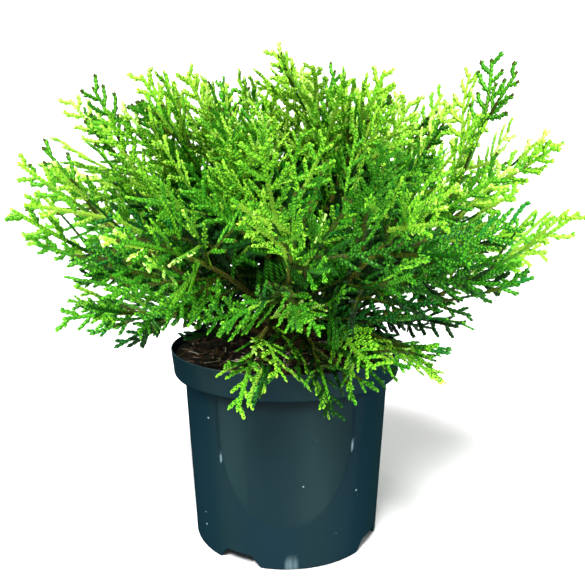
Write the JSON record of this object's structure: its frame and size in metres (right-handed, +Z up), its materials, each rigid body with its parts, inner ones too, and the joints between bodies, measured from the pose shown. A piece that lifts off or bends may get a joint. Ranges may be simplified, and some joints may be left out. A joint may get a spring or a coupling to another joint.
{
  "type": "potted dwarf hiba cedar",
  "caption": "Low bushy conifer with flat fern-like green sprays, growing in soil in a round dark plastic nursery pot.",
  "frame": {"origin": "centre of the flat pad under the pot, on the ground", "axes": "+Z up along the pot's axis, -Y towards the viewer of the front, +X to the viewer's right"},
  "size_m": [0.4573, 0.3882, 0.3955],
  "materials": {
    "pot": "satin moulded plastic, dark petrol green",
    "soil": "moist dark peat with bark fibres",
    "bark": "thin green-brown bark",
    "foliage": "bright green scale leaves, slightly waxy"
  },
  "bodies": {
    "root": {"pot": "pot", "soil": "soil", "stem": "bark", "bough_top_1": "bark", "foliage_top_1": "foliage", "bough_top_2": "bark", "foliage_top_2": "foliage", "bough_top_3": "bark", "foliage_top_3": "foliage", "bough_top_4": "bark", "foliage_top_4": "foliage", "bough_top_5": "bark", "foliage_top_5": "foliage", "bough_top_6": "bark", "foliage_top_6": "foliage", "bough_top_7": "bark", "foliage_top_7": "foliage", "bough_side_1": "bark", "foliage_side_1": "foliage", "bough_side_2": "bark", "foliage_side_2": "foliage", "bough_side_3": "bark", "foliage_side_3": "foliage", "bough_side_4": "bark", "foliage_side_4": "foliage", "bough_side_5": "bark", "foliage_side_5": "foliage", "bough_side_6": "bark", "foliage_side_6": "foliage", "bough_side_7": "bark", "foliage_side_7": "foliage", "bough_side_8": "bark", "foliage_side_8": "foliage", "bough_side_9": "bark", "foliage_side_9": "foliage", "bough_side_10": "bark", "foliage_side_10": "foliage", "bough_low_1": "bark", "foliage_low_1": "foliage", "bough_low_2": "bark", "foliage_low_2": "foliage", "bough_low_3": "bark", "foliage_low_3": "foliage", "bough_low_4": "bark", "foliage_low_4": "foliage", "bough_low_5": "bark", "foliage_low_5": "foliage", "bough_low_6": "bark", "foliage_low_6": "foliage", "bough_low_7": "bark", "foliage_low_7": "foliage", "bough_low_8": "bark", "foliage_low_8": "foliage", "bough_low_9": "bark", "foliage_low_9": "foliage", "bough_low_10": "bark", "foliage_low_10": "foliage", "bough_low_11": "bark", "foliage_low_11": "foliage"}
  },
  "joints": []
}
